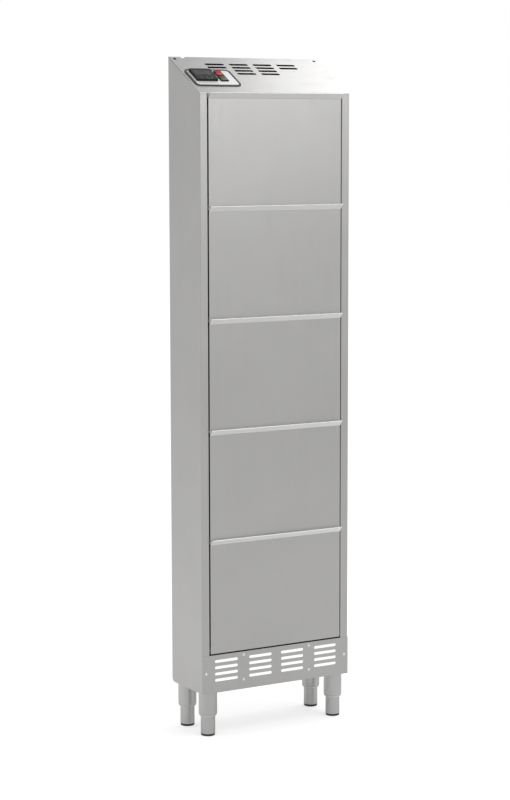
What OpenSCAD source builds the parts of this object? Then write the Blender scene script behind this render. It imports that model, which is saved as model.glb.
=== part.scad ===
// Slim drying cabinet: five bottom-hinged flaps, each carrying a perforated shoe bin,
// in a folded sheet casing with a sloping roof, on four adjustable legs.
// X runs across the front, Y from the front to the back and Z up from the floor.
// The origin is on the floor, under the middle of the whole cabinet.
// Inside the modules y = 0 is the plane of the stiles; place() moves it to the origin's frame.

/* [Casing] */
// Width over the side panels
body_w = 500; // [460:5:600]
// Depth from the stiles to the back flanges
body_d = 184; // [180:2:230]
// Slope of the roof, in degrees
roof_angle = 29.4; // [26:0.2:34]
// Thickness of the casing's sheet
sheet_t = 1.2; // [1:0.1:1.5]
// Outer radius of the casing's bends
bend_r = 3; // [2:0.5:4]
// Width of each front stile
stile_w = 26; // [22:1:36]
// How far each stile turns back into the cabinet
return_d = 30; // [28:1:34]
// Width of the side panels' back flanges
back_flange_w = 18; // [14:1:30]
// Radius of the side panels' lower back corners
back_corner_r = 12; // [6:1:20]
// Height of the roof's nose over the stiles
nose_h = 3.2; // [2.6:0.1:6]
// Height of the rail that the roof turns down behind the top lip
rail_h = 15.4; // [12:0.2:16]
// Gap left between two casing pieces that lie against each other
seam = 0.2; // [0.1:0.05:0.3]

/* [Plinth] */
// Height of the plinth plate
plinth_h = 112; // [108:1:150]
// Height of the intakes' middle above the casing's bottom edge
intake_up = 65; // [62:1:68]
// Height of the base chamber under the compartment floor
chamber_h = 107; // [105:1:108]
// Length of an intake slot
intake_slot_w = 77; // [50:1:84]
// Height of an intake slot
intake_slot_h = 8.4; // [5:0.2:12]
// Distance from the middle to the inner intake columns
intake_col_in = 54.5; // [48:0.5:58]
// Distance from the middle to the outer intake columns
intake_col_out = 169.5; // [165:0.5:172]
// Spacing of the intake rows
intake_pitch = 18.6; // [15:0.2:20]
// Diameter of the plinth screws' heads
plinth_screw_d = 9; // [6:0.5:10]
// Thickness of the air filter mat
filter_t = 8; // [4:1:15]

/* [Roof] */
// Length of an outlet slot
roof_slot_w = 63; // [40:1:68]
// Height of an outlet slot along the slope
roof_slot_h = 10.5; // [5:0.5:12]
// Spacing of the outlet columns
roof_col_pitch = 80; // [76:1:84]
// Spacing of the outlet rows
roof_row_pitch = 18.5; // [16:0.5:21]
// Distance from the front bend to the lowest outlet row
roof_row_start = 112; // [110:0.5:116]
// Diameter of the wall strap holes
strap_hole_d = 10; // [6:0.5:11]
// Distance of the strap holes from the sides
strap_inset = 15; // [12:0.5:20]
// Distance of the strap holes from the back edge
strap_back = 13; // [11:0.5:16]
// Radius of the mains lead's notch in the back edge
lead_notch_r = 7; // [5:0.5:8]
// Distance of the mains lead's notch from the left side
lead_x = 45; // [36:1:60]

/* [Flaps] */
// Height from one lip to the next
flap_pitch = 320; // [300:1:360]
// Extra height of the lowest flap
low_extra = 4; // [0:0.5:10]
// Gap beside each flap
side_gap = 3; // [2.5:0.1:4]
// Gap under each flap
flap_gap = 3; // [2.5:0.1:4]
// Gap between the top lip and the roof's front bend
roof_gap = 0.7; // [0.5:0.1:2]
// Height of the leaning pull lip
lip_h = 16.5; // [15:0.5:24]
// How far the lip stands out
lip_out = 12.5; // [10:0.5:16]
// Thickness of the lip's hem
hem_t = 3; // [2.4:0.1:4]
// Depth of the flap's folded sides
flap_side_d = 22; // [18:1:24]
// Relief under each lip, where the folded sides stop
corner_relief = 7.5; // [6:0.5:15]
// Height of the pivots above the flap's bottom edge
pivot_up = 11; // [10:0.5:14]
// Distance of the pivots behind the front plane
pivot_y = 12; // [11:0.5:13]
// Diameter of the pivot pins
pivot_d = 8; // [6:0.5:9]
// Height of the stop pins above the flap's bottom edge
stop_up = 156; // [150:1:162]
// Distance of the stop pins in front of the bins' back walls
stop_in = 8; // [6:1:12]

/* [Bins] */
// Height of a bin's back wall
bin_h = 200; // [180:5:215]
// Height of a bin's sides at the front
bin_front_h = 112; // [90:2:140]
// Thickness of the bins' sheet
bin_t = 1; // [0.8:0.1:1.5]
// Gap between the bins' back walls and the rear duct
bin_clear = 12; // [8:1:14]
// Length of a drain slot
bin_slot_w = 34; // [20:1:38]
// Height of a drain slot
bin_slot_h = 7; // [4:0.5:10]
// Number of drain slots side by side
bin_cols = 9; // [4:1:9]

/* [Legs] */
// Height of the casing's bottom edge above the floor
leg_h = 131; // [125:1:150]
// Length of the leg sleeves
sleeve_len = 69; // [64:1:72]
// Diameter of the leg sleeves
sleeve_d = 54; // [50:0.5:55]
// Diameter of the foot tubes
foot_d = 42.4; // [38:0.2:44]
// Distance of the legs from the sides
leg_x = 34.5; // [34:0.5:45]
// Distance of the legs from the front and the back
leg_y = 29; // [29:0.5:40]
// Length of foot tube inside its sleeve
foot_inside = 45; // [30:1:50]
// Height of the rubber pads
pad_h = 7; // [5:0.5:10]

/* [Controls] */
// Width of the control panel's frame
panel_w = 150; // [142:1:160]
// Height of the control panel's frame along the slope
panel_h = 98; // [97:1:101]
// Distance of the panel's middle from the left side
panel_x = 84; // [82:1:95]
// Distance of the panel's middle from the front bend
panel_s = 84; // [81:0.5:86]
// Width of the frame's border
frame_border = 7; // [4:0.5:7.5]
// Width of the thermostat
thermo_w = 68; // [58:1:70]
// Height of the thermostat along the slope
thermo_h = 63; // [57:1:64]
// How far the thermostat stands out of the panel
thermo_proud = 7; // [5:0.5:10]
// Thermostat's middle, left of the panel's middle
thermo_dx = 27; // [25:0.5:30]
// Thermostat's middle, above the panel's middle
thermo_ds = 9.5; // [6:0.5:10]
// Width of a rocker switch
rocker_w = 26; // [22:1:28]
// Height of a rocker switch along the slope
rocker_h = 28; // [24:1:29]
// Switches' middles, right of the panel's middle
rocker_dx = 29.5; // [27:0.5:45]
// Spacing of the two switches
rocker_pitch = 31; // [30:0.5:32]

/* [Air duct and blower] */
// Width of the rear duct
duct_w = 220; // [180:5:260]
// Depth of the rear duct, from its front wall to the casing's back
duct_d = 34; // [32:1:38]
// Radius of the blower's scroll
scroll_r = 44; // [40:1:46]
// Radius of the blower's wheel
wheel_r = 36; // [30:1:38]
// Number of blades
blades = 24; // [12:1:30]

/* [Hidden] */

$fn = 48;
flaps = 5;
bend_steps = 8;                                 // flats that make up the roof's front bend
joint_lap = 0.01;                               // lets two solids of one sheet merge
fit = 0.05;                                     // radial play of a pin, a stud or a rivet
inside_w = body_w - 2 * sheet_t - 4 * seam;     // what fits between the side panels
open_w = body_w - 2 * stile_w;                  // clear width between the stiles
flap_w = open_w - 2 * side_gap;
base_z = leg_h;                                 // bottom edge of the casing
floor_z = base_z + chamber_h;                   // underside of the compartment floor
flap_h = flap_pitch + lip_h - flap_gap;
low_bottom = base_z + plinth_h + flap_gap;
front_z = low_bottom + flap_h + low_extra + (flaps - 1) * flap_pitch + roof_gap;
back_z = front_z + body_d * tan(roof_angle);
slope_len = body_d / cos(roof_angle);
roof_drop = sheet_t / cos(roof_angle) + seam;   // side panels stop this far under the roof
deck_z = front_z - rail_h + seam;
nose_run = bend_r * tan((90 - roof_angle) / 2); // straight sheet lost to the front bend
back_in = body_d - 2 * sheet_t - seam;          // inner face of the back panel
rivet_head_h = 1.2;
total_d = lip_out + body_d + rivet_head_h;

pin_r = pivot_d / 2;
bush_r = pin_r + 2;
bush_flange_r = pin_r + 4;
bush_flange_t = side_gap / 2;
duct_y = body_d - duct_d;                       // front of the duct
bin_back_y = duct_y - bin_clear;                // back of the bins
stop_y = bin_back_y - stop_in;
bin_w = flap_w - 2 * sheet_t - 3 * seam;
bin_floor = sheet_t + seam;

guide_r = foot_d / 2 + fit;
sleeve_wall = 2;
sleeve_top = 6;
sleeve_bottom = base_z - sleeve_len;
bolt_r = 5;
hex = 6;
leg_corners = [for (y = [leg_y, body_d - leg_y]) for (x = [-1, 1]) [x * (body_w / 2 - leg_x), y]];

roof_seat = 0.02;                               // the controls stand this far over the sheet
plate_t = 1.5;                                  // control plate, on the roof
frame_t = 2.6;
panel_corner_r = 16;
control_x = panel_x - body_w / 2;
thermo_at = [control_x - thermo_dx, panel_s + thermo_ds];
rocker_x = control_x + rocker_dx;
rocker_mid = panel_s + 7;
power_at = [rocker_x, rocker_mid - rocker_pitch / 2];
heater_at = [rocker_x, rocker_mid + rocker_pitch / 2];
body_step = 1.5;                                // how far a bezel overlaps its cut-out
rocker_tilt = 8;
rocker_play = 0.35;
key_w = 12;
key_h = 7;
key_gap = 0.2;
key_depth = 4;
key_proud = 0.9;
key_row = -21;                                  // keys' place under the thermostat's middle
key_pitch = 18;
window_w = 54;
window_h = 26;
window_up = 8;
window_t = 1;

deck_row_start = 70;                            // the deck's first row of slots, from the front

lead_in = 17;                                   // the lead's gland, in front of the casing's back
lead_at = [lead_x - body_w / 2, body_d - lead_in];
gland_drop = 62;
gland_z = back_z - gland_drop;
gland_bore_r = 4.5;
terminal_in = 66;
terminal_at = [40, body_d - terminal_in];

rivet_r = 1.6;
rivet_head_r = 3.4;
rivet_rows = 9;
rivet_x = body_w / 2 - back_flange_w / 2;
rivet_zs = [for (i = [0 : rivet_rows - 1])
    base_z + 40 + i * (front_z - base_z) / (rivet_rows - 1)];

intake_xs = [-intake_col_out, -intake_col_in, intake_col_in, intake_col_out];
intake_mid_z = base_z + intake_up;
plinth_screw_x = (intake_col_in + intake_col_out) / 2;
plinth_screw_rise = 37;
side_screw_up = 59;
side_screw_z = base_z + side_screw_up;
side_screw_x = body_w / 2 - stile_w / 2;
plinth_screw_at = [[-side_screw_x, side_screw_z], [side_screw_x, side_screw_z],
    for (x = [-plinth_screw_x, plinth_screw_x]) for (k = [-1, 1])
        [x, intake_mid_z + k * plinth_screw_rise]];
screw_shank_r = 2.2;
screw_len = 14;
screw_tab_w = 24;
screw_tab_end = 8;                              // how far a tab runs past its screw

blower_x = -29;
blower_y = duct_y + sheet_t + seam;
blower_d = back_in - blower_y - 1;
blower_up = 54;
blower_z = base_z + blower_up;
blower_wall = 1.5;
neck_w = 30;
neck_top = floor_z + 8;
shaft_r = 3;
inlet_r = 30;
heater_up = 30;
heater_z = floor_z + heater_up;
heater_h = 60;

// Height of a flap's lip, the top of its flat face, its bottom edge and its pivot
function lip_top(k) = front_z - roof_gap - (k - 1) * flap_pitch;
function face_top(k) = lip_top(k) - lip_h;
function flap_bottom(k) = k < flaps ? face_top(k + 1) + flap_gap : low_bottom;
function pivot_z(k) = flap_bottom(k) + pivot_up;

// Points along an arc about c, from the angle a0 to a1
function arc(c, r, a0, a1) = [for (i = [0 : bend_steps])
    c + r * [cos(a0 + (a1 - a0) * i / bend_steps), sin(a0 + (a1 - a0) * i / bend_steps)]];

// The roof's sheet from the side: nose, front bend and slope, from the front bend's height
function roof_profile() = concat(
    [[0, -nose_h]],
    arc([bend_r, -nose_run], bend_r, 180, 90 + roof_angle),
    [[body_d, back_z - front_z], [body_d, back_z - front_z - sheet_t / cos(roof_angle)]],
    arc([bend_r, -nose_run], bend_r - sheet_t, 90 + roof_angle, 180),
    [[sheet_t, -nose_h]]);

module place() {
    translate([0, lip_out - total_d / 2, 0]) children();
}

// Extrudes a (y, z) outline along X, centred on x
module across(w, x = 0) {
    translate([x, 0, 0]) rotate([90, 0, 90]) linear_extrude(w, center = true) children();
}

// Extrudes an (x, z) outline towards the back, from y
module backward(d, y = 0) {
    translate([0, y + d, 0]) rotate([90, 0, 0]) linear_extrude(d) children();
}

// Puts a piece on the roof: local x across, y up the slope, z out of the sheet
module on_roof(at) {
    translate([0, 0, front_z])
        translate([at[0], at[1] * cos(roof_angle), at[1] * sin(roof_angle)])
            rotate([roof_angle, 0, 0]) children();
}

// The same for the controls, which are seated on the sheet with a trace of play
module on_sheet(at) {
    on_roof(at) translate([0, 0, roof_seat]) children();
}

module both_sides() {
    children();
    mirror([1, 0, 0]) children();
}

module slot(w, h) {
    square([w - h, h], center = true);
    for (k = [-1, 1]) translate([k * (w - h) / 2, 0]) circle(h / 2);
}

module rounded(w, h, r) {
    square([w - 2 * r, h], center = true);
    square([w, h - 2 * r], center = true);
    for (x = [-1, 1]) for (y = [-1, 1]) translate([x * (w / 2 - r), y * (h / 2 - r)]) circle(r);
}

// A straight run of sheet from p to q, t thick
module strip(p, q, t) {
    run = q - p;
    translate(p) rotate(atan2(run[1], run[0])) translate([0, -t / 2]) square([norm(run), t]);
}

// A bend of outer radius r about c, between the angles a0 and a1
module elbow(c, r, t, a0, a1) {
    far = 2 * r;
    mid = (a0 + a1) / 2;
    translate(c) intersection() {
        difference() {
            circle(r);
            circle(r - t);
        }
        polygon([[0, 0], far * [cos(a0), sin(a0)], far * [cos(mid), sin(mid)],
            far * [cos(a1), sin(a1)]]);
    }
}

// The casing from the side, with the roof's slope lowered by drop
module side_outline(drop) {
    r = back_corner_r;
    difference() {
        polygon([[-joint_lap, base_z], [-joint_lap, front_z - drop], [0, front_z - drop],
            [body_d, back_z - drop], [body_d, base_z]]);
        difference() {
            translate([body_d - r, base_z - r]) square([2 * r, 2 * r]);
            translate([body_d - r, base_z + r]) circle(r);
        }
    }
}

// The side panel from above: wall, rounded corner, stile, its return and the back flange
module side_plan() {
    wall_x = -body_w / 2;
    inner_x = -open_w / 2;
    translate([wall_x, bend_r]) square([sheet_t, body_d - bend_r]);
    elbow([wall_x + bend_r, bend_r], bend_r, sheet_t, 180, 270);
    translate([wall_x + bend_r, 0]) square([inner_x - wall_x - 2 * bend_r, sheet_t]);
    elbow([inner_x - bend_r, bend_r], bend_r, sheet_t, 270, 360);
    translate([inner_x - sheet_t, bend_r]) square([sheet_t, return_d - bend_r]);
    translate([wall_x, body_d - sheet_t]) square([back_flange_w, sheet_t]);
}

module side_panel() {
    difference() {
        intersection() {
            union() {
                linear_extrude(back_z) side_plan();
                translate([-body_w / 2, sheet_t, base_z])
                    cube([2 * leg_x, body_d - sheet_t, sheet_t]);
            }
            across(2 * body_w) side_outline(roof_drop);
        }
        translate([-body_w, -1, front_z - nose_h - seam]) cube([2 * body_w, bend_r + 1, rail_h]);
        for (k = [1 : flaps]) translate([-body_w / 2 + sheet_t + 1, pivot_y, pivot_z(k)])
            rotate([0, 90, 0]) cylinder(r = bush_r + fit, h = body_w / 2);
        for (c = leg_corners) translate([c[0], c[1], base_z - 1])
            cylinder(r = bolt_r + fit, h = sheet_t + 2);
        for (p = plinth_screw_at) translate([p[0], -1, p[1]]) rotate([-90, 0, 0])
            cylinder(r = screw_shank_r + fit, h = sheet_t + 2);
        for (z = rivet_zs) translate([-rivet_x, body_d + 1, z]) rotate([90, 0, 0])
            cylinder(r = rivet_r + fit, h = sheet_t + 2);
    }
}

module side_left() {
    color([0.70, 0.70, 0.69]) place() side_panel();
}

module side_right() {
    color([0.70, 0.70, 0.69]) place() mirror([1, 0, 0]) side_panel();
}

module back_panel() {
    color([0.66, 0.66, 0.66]) place() difference() {
        intersection() {
            translate([-inside_w / 2, back_in, base_z + back_corner_r + seam])
                cube([inside_w, sheet_t, back_z]);
            across(body_w) side_outline(roof_drop);
        }
        both_sides() for (z = rivet_zs) translate([rivet_x, body_d, z]) rotate([90, 0, 0])
            cylinder(r = rivet_r + fit, h = 4 * sheet_t);
        lead_slot();
    }
}

// The mains lead's way out: a slot up from the back panel's top, under the roof's sheet
module lead_slot() {
    low = back_z - 4 * lead_notch_r;
    near = body_d - lead_notch_r;
    under = sheet_t / cos(roof_angle) - sheet_t / 4;
    across(2 * lead_notch_r, lead_at[0]) polygon([[near, low], [body_d + 1, low],
        [body_d + 1, front_z + (body_d + 1) * tan(roof_angle) - under],
        [near, front_z + near * tan(roof_angle) - under]]);
}

// The outlets, the strap holes and the cut-outs for the controls, in the roof's own plane
module roof_cuts() {
    for (row = [0 : 3]) for (col = (row < 2 ? [-0.5, 0.5] : [-1.5 : 1.5]))
        translate([col * roof_col_pitch, roof_row_start + row * roof_row_pitch])
            slot(roof_slot_w, roof_slot_h);
    for (k = [-1, 1]) translate([k * (body_w / 2 - strap_inset), slope_len - strap_back])
        circle(strap_hole_d / 2);
    control_cutouts(0.5);
}

// Cut-outs for the bodies of the thermostat and the two switches
module control_cutouts(gap) {
    translate(thermo_at) square([thermo_w, thermo_h] + 2 * (gap - body_step) * [1, 1],
        center = true);
    for (p = [power_at, heater_at]) translate(p)
        square([rocker_w, rocker_h] + 2 * (gap - body_step) * [1, 1], center = true);
}

module roof_panel() {
    flange = 14;
    flange_y = back_in - sheet_t - seam;
    flange_top = front_z + flange_y * tan(roof_angle) - sheet_t / 2;
    color([0.80, 0.80, 0.80]) place() difference() {
        union() {
            translate([0, 0, front_z]) across(body_w) polygon(roof_profile());
            translate([0, 0, front_z]) across(open_w - 4 * seam)
                translate([0, -rail_h]) square([sheet_t, rail_h - nose_h + joint_lap]);
            both_sides() on_roof([0, 0])
                translate([inside_w / 2 - sheet_t, flange, -flange])
                    cube([sheet_t, slope_len - 2 * flange, flange - sheet_t / 2]);
            translate([-inside_w / 2, flange_y, flange_top - 2 * flange])
                cube([inside_w, sheet_t, 2 * flange]);
        }
        on_roof([0, 0]) translate([0, 0, -2 * sheet_t]) linear_extrude(4 * sheet_t) roof_cuts();
        translate([lead_at[0], body_d, back_z - 4 * lead_notch_r])
            cylinder(r = lead_notch_r, h = 5 * lead_notch_r);
        lead_slot();
    }
}

// A level sheet that fits between the side panels, round the stiles' returns
module deck_plan() {
    translate([-inside_w / 2, return_d + seam])
        square([inside_w, back_in - seam - return_d - seam]);
    translate([-open_w / 2 + seam, sheet_t + seam])
        square([open_w - 2 * seam, return_d]);
}

module top_deck() {
    color([0.66, 0.66, 0.66]) place() translate([0, 0, deck_z]) linear_extrude(sheet_t)
        difference() {
            deck_plan();
            for (x = [-1.5 : 1.5]) for (row = [0 : 2])
                translate([x * roof_col_pitch, deck_row_start + row * roof_row_pitch])
                    slot(roof_slot_w, roof_slot_h);
            translate(lead_at) circle(gland_bore_r + 2);
        }
}

// A tab behind the filter mat for one of the plinth's middle screws, from z0 up to z1
module screw_tab(x, z0, z1, screw_z) {
    backward(sheet_t, filter_t + 2 * seam) difference() {
        translate([x - screw_tab_w / 2, z0]) square([screw_tab_w, z1 - z0]);
        translate([x, screw_z]) circle(screw_shank_r + fit);
    }
}

module floor_panel() {
    screw_z = intake_mid_z + plinth_screw_rise;
    color([0.66, 0.66, 0.66]) place() {
        translate([0, 0, floor_z]) linear_extrude(sheet_t) difference() {
            deck_plan();
            translate([blower_x + scroll_r - neck_w - 1, blower_y - 1])
                square([neck_w + 2, blower_d + 2]);
        }
        for (x = [-plinth_screw_x, plinth_screw_x])
            screw_tab(x, screw_z - screw_tab_end, floor_z + joint_lap, screw_z);
    }
}

module base_plate() {
    screw_z = intake_mid_z - plinth_screw_rise;
    color([0.62, 0.62, 0.62]) place() {
        translate([0, 0, base_z + sheet_t]) difference() {
            linear_extrude(sheet_t) intersection() {
                deck_plan();
                square([body_w, 2 * (body_d - back_corner_r)], center = true);
            }
            for (c = leg_corners) translate([c[0], c[1], -1])
                cylinder(r = bolt_r + fit, h = sheet_t + 2);
        }
        across(inside_w) elbow([body_d - back_corner_r, base_z + back_corner_r],
            back_corner_r - sheet_t, sheet_t, 270, 360);
        for (x = [-plinth_screw_x, plinth_screw_x])
            screw_tab(x, base_z + 2 * sheet_t - joint_lap, screw_z + screw_tab_end, screw_z);
    }
}

module plinth_panel() {
    color([0.68, 0.68, 0.67]) place() backward(sheet_t, -sheet_t) difference() {
        translate([-body_w / 2, base_z]) square([body_w, plinth_h]);
        for (x = intake_xs) for (row = [-1.5 : 1.5])
            translate([x, intake_mid_z + row * intake_pitch]) slot(intake_slot_w, intake_slot_h);
        for (p = plinth_screw_at) translate(p) circle(screw_shank_r + fit);
    }
}

module filter_mat() {
    margin = 4;
    mat_w = open_w - 2 * margin;
    color([0.93, 0.93, 0.92]) place() backward(filter_t, seam) difference() {
        translate([-mat_w / 2, base_z + 3 * sheet_t])
            square([mat_w, chamber_h - 4 * sheet_t]);
        for (p = plinth_screw_at) translate(p) circle(screw_shank_r + 1);
    }
}

// Channel up the back panel, with a group of outlets behind every compartment
module rear_duct() {
    bottom = floor_z + sheet_t + seam;
    tall = deck_z - seam - bottom;
    deep = back_in - duct_y - seam;
    color([0.64, 0.64, 0.64]) place() {
        backward(sheet_t, duct_y) difference() {
            translate([-duct_w / 2, bottom]) square([duct_w, tall]);
            for (k = [1 : flaps]) for (x = [-1.5 : 1.5]) for (row = [0 : 2])
                translate([x * duct_w / 4.6, pivot_z(k) + bin_h + 14 + row * 2 * bin_slot_h])
                    slot(bin_slot_w, bin_slot_h);
        }
        both_sides() translate([duct_w / 2 - sheet_t, duct_y, bottom])
            cube([sheet_t, deep, tall]);
    }
}

module pivot_bushes() {
    color([0.92, 0.92, 0.90]) place() both_sides() for (k = [1 : flaps])
        translate([open_w / 2, pivot_y, pivot_z(k)]) rotate([0, 90, 0]) difference() {
            union() {
                cylinder(r = bush_r, h = sheet_t + 3);
                translate([0, 0, -bush_flange_t]) cylinder(r = bush_flange_r, h = bush_flange_t);
            }
            translate([0, 0, -side_gap]) cylinder(r = pin_r + fit, h = 4 * side_gap);
        }
}

// Rubber blocks on the stiles' returns, which the closed flaps lean on
module closing_buffers() {
    below_lip = 48;
    tall = 14;
    wide = side_gap + 7;
    color([0.15, 0.15, 0.15]) place() both_sides() for (k = [1 : flaps])
        translate([open_w / 2 - wide, flap_side_d + 0.3, lip_top(k) - below_lip])
            cube([wide, return_d - flap_side_d - 0.3, tall]);
}

// One leg's sleeve, hanging from the casing's bottom flange
module leg_sleeve(i) {
    r = sleeve_d / 2;
    chamfer = 4;
    color([0.67, 0.67, 0.67]) place() translate([leg_corners[i][0], leg_corners[i][1], 0])
        rotate_extrude($fn = 64) difference() {
            polygon([[0, base_z], [r, base_z], [r, sleeve_bottom + chamfer],
                [r - 0.35 * chamfer, sleeve_bottom], [0, sleeve_bottom]]);
            translate([-1, sleeve_bottom - 1])
                square([r - sleeve_wall + 1, sleeve_len - sleeve_top + 1]);
            translate([-1, 0]) square([bolt_r + fit + 1, base_z + 1]);
        }
}

// Nylon guides in the sleeves' mouths
module leg_rings() {
    lip = 2;
    color([0.86, 0.86, 0.85]) place() for (c = leg_corners) translate([c[0], c[1], 0])
        rotate_extrude($fn = 64) {
            translate([guide_r, sleeve_bottom - lip])
                square([(sleeve_d - foot_d) / 4, lip]);
            translate([guide_r, sleeve_bottom - joint_lap])
                square([sleeve_d / 2 - sleeve_wall - fit - guide_r, 12]);
        }
}

module leg_bolts() {
    under_head = base_z + 2 * sheet_t;
    color([0.60, 0.60, 0.60]) place() for (c = leg_corners) translate([c[0], c[1], under_head]) {
        cylinder(r = 8, h = 6, $fn = hex);
        translate([0, 0, -2 * sheet_t - sleeve_top - 8])
            cylinder(r = bolt_r, h = 2 * sheet_t + sleeve_top + 8 + joint_lap);
    }
}

module foot_tube(i) {
    wall = 2;
    tall = sleeve_bottom + foot_inside - pad_h;
    color([0.69, 0.69, 0.69]) place()
        translate([leg_corners[i][0], leg_corners[i][1], pad_h]) difference() {
            cylinder(d = foot_d, h = tall, $fn = 64);
            translate([0, 0, -1]) cylinder(d = foot_d - 2 * wall, h = tall - 1, $fn = 64);
        }
}

module foot_pad(i) {
    r = foot_d / 2 - 0.6;
    round = 2.5;
    plug_r = foot_d / 2 - 2.1;
    color([0.10, 0.10, 0.10]) place() translate([leg_corners[i][0], leg_corners[i][1], 0])
        rotate_extrude($fn = 64) {
            square([r - round, pad_h]);
            translate([0, round]) square([r, pad_h - round]);
            intersection() {
                translate([r - round, round]) circle(round);
                square([r, pad_h]);
            }
            square([plug_r, pad_h + 14]);
        }
}

// Domed screws that hold the plinth plate
module plinth_screws() {
    head_r = plinth_screw_d / 2;
    head_h = 2.4;
    ball_r = (head_r * head_r + head_h * head_h) / (2 * head_h);
    color([0.85, 0.85, 0.85]) place() for (p = plinth_screw_at)
        translate([p[0], -sheet_t, p[1]]) rotate([90, 0, 0]) {
            intersection() {
                translate([0, 0, head_h - ball_r]) sphere(ball_r, $fn = 64);
                cylinder(r = head_r, h = head_h);
            }
            translate([0, 0, -screw_len]) cylinder(r = screw_shank_r, h = screw_len + joint_lap);
        }
}

module back_rivets() {
    color([0.80, 0.80, 0.80]) place() both_sides() for (z = rivet_zs)
        translate([rivet_x, body_d, z]) rotate([-90, 0, 0]) {
            cylinder(r1 = rivet_head_r, r2 = rivet_head_r - 1, h = rivet_head_h);
            translate([0, 0, -2 * sheet_t - seam])
                cylinder(r = rivet_r, h = 2 * sheet_t + seam + joint_lap);
        }
}

module panel_frame() {
    color([0.33, 0.33, 0.35]) place() on_sheet([control_x, panel_s]) linear_extrude(frame_t)
        difference() {
            rounded(panel_w, panel_h, panel_corner_r);
            rounded(panel_w - 2 * frame_border, panel_h - 2 * frame_border,
                panel_corner_r - frame_border);
        }
}

module panel_plate() {
    inner = 2 * (frame_border + seam);
    color([0.94, 0.94, 0.95]) place() on_sheet([0, 0]) linear_extrude(plate_t) difference() {
        translate([control_x, panel_s]) rounded(panel_w - inner, panel_h - inner,
            panel_corner_r - frame_border);
        control_cutouts(0.5);
    }
}

// Thermostat: a black bezel on the plate and a body behind it
module thermostat_case() {
    body_depth = 34;
    color([0.12, 0.12, 0.13]) place() on_sheet(thermo_at) difference() {
        union() {
            translate([0, 0, plate_t]) linear_extrude(thermo_proud)
                rounded(thermo_w, thermo_h, 3);
            translate([0, 0, plate_t - body_depth]) linear_extrude(body_depth + joint_lap)
                square([thermo_w, thermo_h] - 2 * body_step * [1, 1], center = true);
        }
        translate([0, window_up, plate_t + thermo_proud - window_t])
            linear_extrude(2 * window_t) square([window_w + 0.2, window_h + 0.2], center = true);
        for (i = [-1 : 1]) translate([i * key_pitch, key_row, plate_t + thermo_proud - key_depth])
            linear_extrude(2 * key_depth)
                square([key_w, key_h] + 2 * key_gap * [1, 1], center = true);
    }
}

module thermostat_window() {
    color([0.05, 0.05, 0.06]) place() on_sheet(thermo_at)
        translate([0, window_up, plate_t + thermo_proud - window_t]) linear_extrude(window_t)
            square([window_w, window_h], center = true);
}

module key(i) {
    color([0.20, 0.20, 0.21]) place() on_sheet(thermo_at)
        translate([i * key_pitch, key_row, plate_t + thermo_proud + key_proud - key_depth])
            linear_extrude(key_depth) rounded(key_w, key_h, 1);
}

// A switch's bezel and body, hollow for its rocker
module switch_case(at) {
    body_depth = 20;
    cavity = 13;
    bezel = 2;
    wall = 2.75;
    color([0.10, 0.10, 0.10]) place() on_sheet(at) difference() {
        union() {
            translate([0, 0, plate_t]) linear_extrude(bezel) rounded(rocker_w, rocker_h, 1.5);
            translate([0, 0, plate_t - body_depth]) linear_extrude(body_depth + joint_lap)
                square([rocker_w, rocker_h] - 2 * body_step * [1, 1], center = true);
        }
        translate([0, 0, plate_t + bezel - cavity]) linear_extrude(2 * cavity)
            square([rocker_w, rocker_h] - 2 * wall * [1, 1], center = true);
        rotate([0, 90, 0]) cylinder(r = 1.5 + fit, h = rocker_w - 2 * body_step, center = true);
    }
}

// A rocker on its two stub pins, resting tilted by rocker_tilt
module rocker(at, tint) {
    half = rocker_h / 2 - 2.75 - 1;
    wide = rocker_w - 2 * (2.75 + rocker_play);
    color(tint) place() on_sheet(at) rotate([rocker_tilt, 0, 0]) {
        across(wide) polygon([[-half, 0], [-half, 6.2], [-half + 1, 6.6], [0, 4.8],
            [half - 1, 6.6], [half, 6.2], [half, 0], [half / 2, -5], [-half / 2, -5]]);
        rotate([0, 90, 0]) cylinder(r = 1.5, h = wide + 2 * rocker_play + 1.6, center = true);
    }
}

module blower_case() {
    neck_x = blower_x + scroll_r - neck_w;
    w = blower_wall;
    flange_h = 2;
    color([0.55, 0.56, 0.57]) place() difference() {
        backward(blower_d, blower_y) {
            translate([blower_x, blower_z]) circle(scroll_r);
            translate([neck_x, blower_z]) square([neck_w, neck_top - blower_z]);
            translate([neck_x - 8, floor_z - flange_h]) square([neck_w + 16, flange_h]);
        }
        backward(blower_d - 2 * w, blower_y + w) {
            translate([blower_x, blower_z]) circle(scroll_r - w);
            translate([neck_x + w, blower_z]) square([neck_w - 2 * w, neck_top - blower_z + 1]);
        }
        backward(3 * w, blower_y - w) translate([blower_x, blower_z]) circle(inlet_r);
    }
}

// Radial wheel: back disc, hub and a ring of blades
module blower_wheel() {
    front = blower_y + 4;
    deep = blower_d - 8;
    disc = 2;
    color([0.20, 0.20, 0.22]) place() translate([blower_x, front, blower_z])
        rotate([-90, 0, 0]) difference() {
            union() {
                translate([0, 0, deep - disc]) cylinder(r = wheel_r, h = disc);
                translate([0, 0, deep / 2]) cylinder(r = 3 * shaft_r, h = deep / 2);
                for (i = [0 : blades - 1]) rotate([0, 0, i * 360 / blades])
                    translate([wheel_r - 9, 0, 1]) rotate([0, 0, 35]) cube([9, 1, deep - 2]);
                difference() {
                    cylinder(r = wheel_r, h = disc);
                    translate([0, 0, -1]) cylinder(r = wheel_r - 10, h = disc + 2);
                }
            }
            translate([0, 0, -1]) cylinder(r = shaft_r + fit, h = deep - 3);
        }
}

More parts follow.
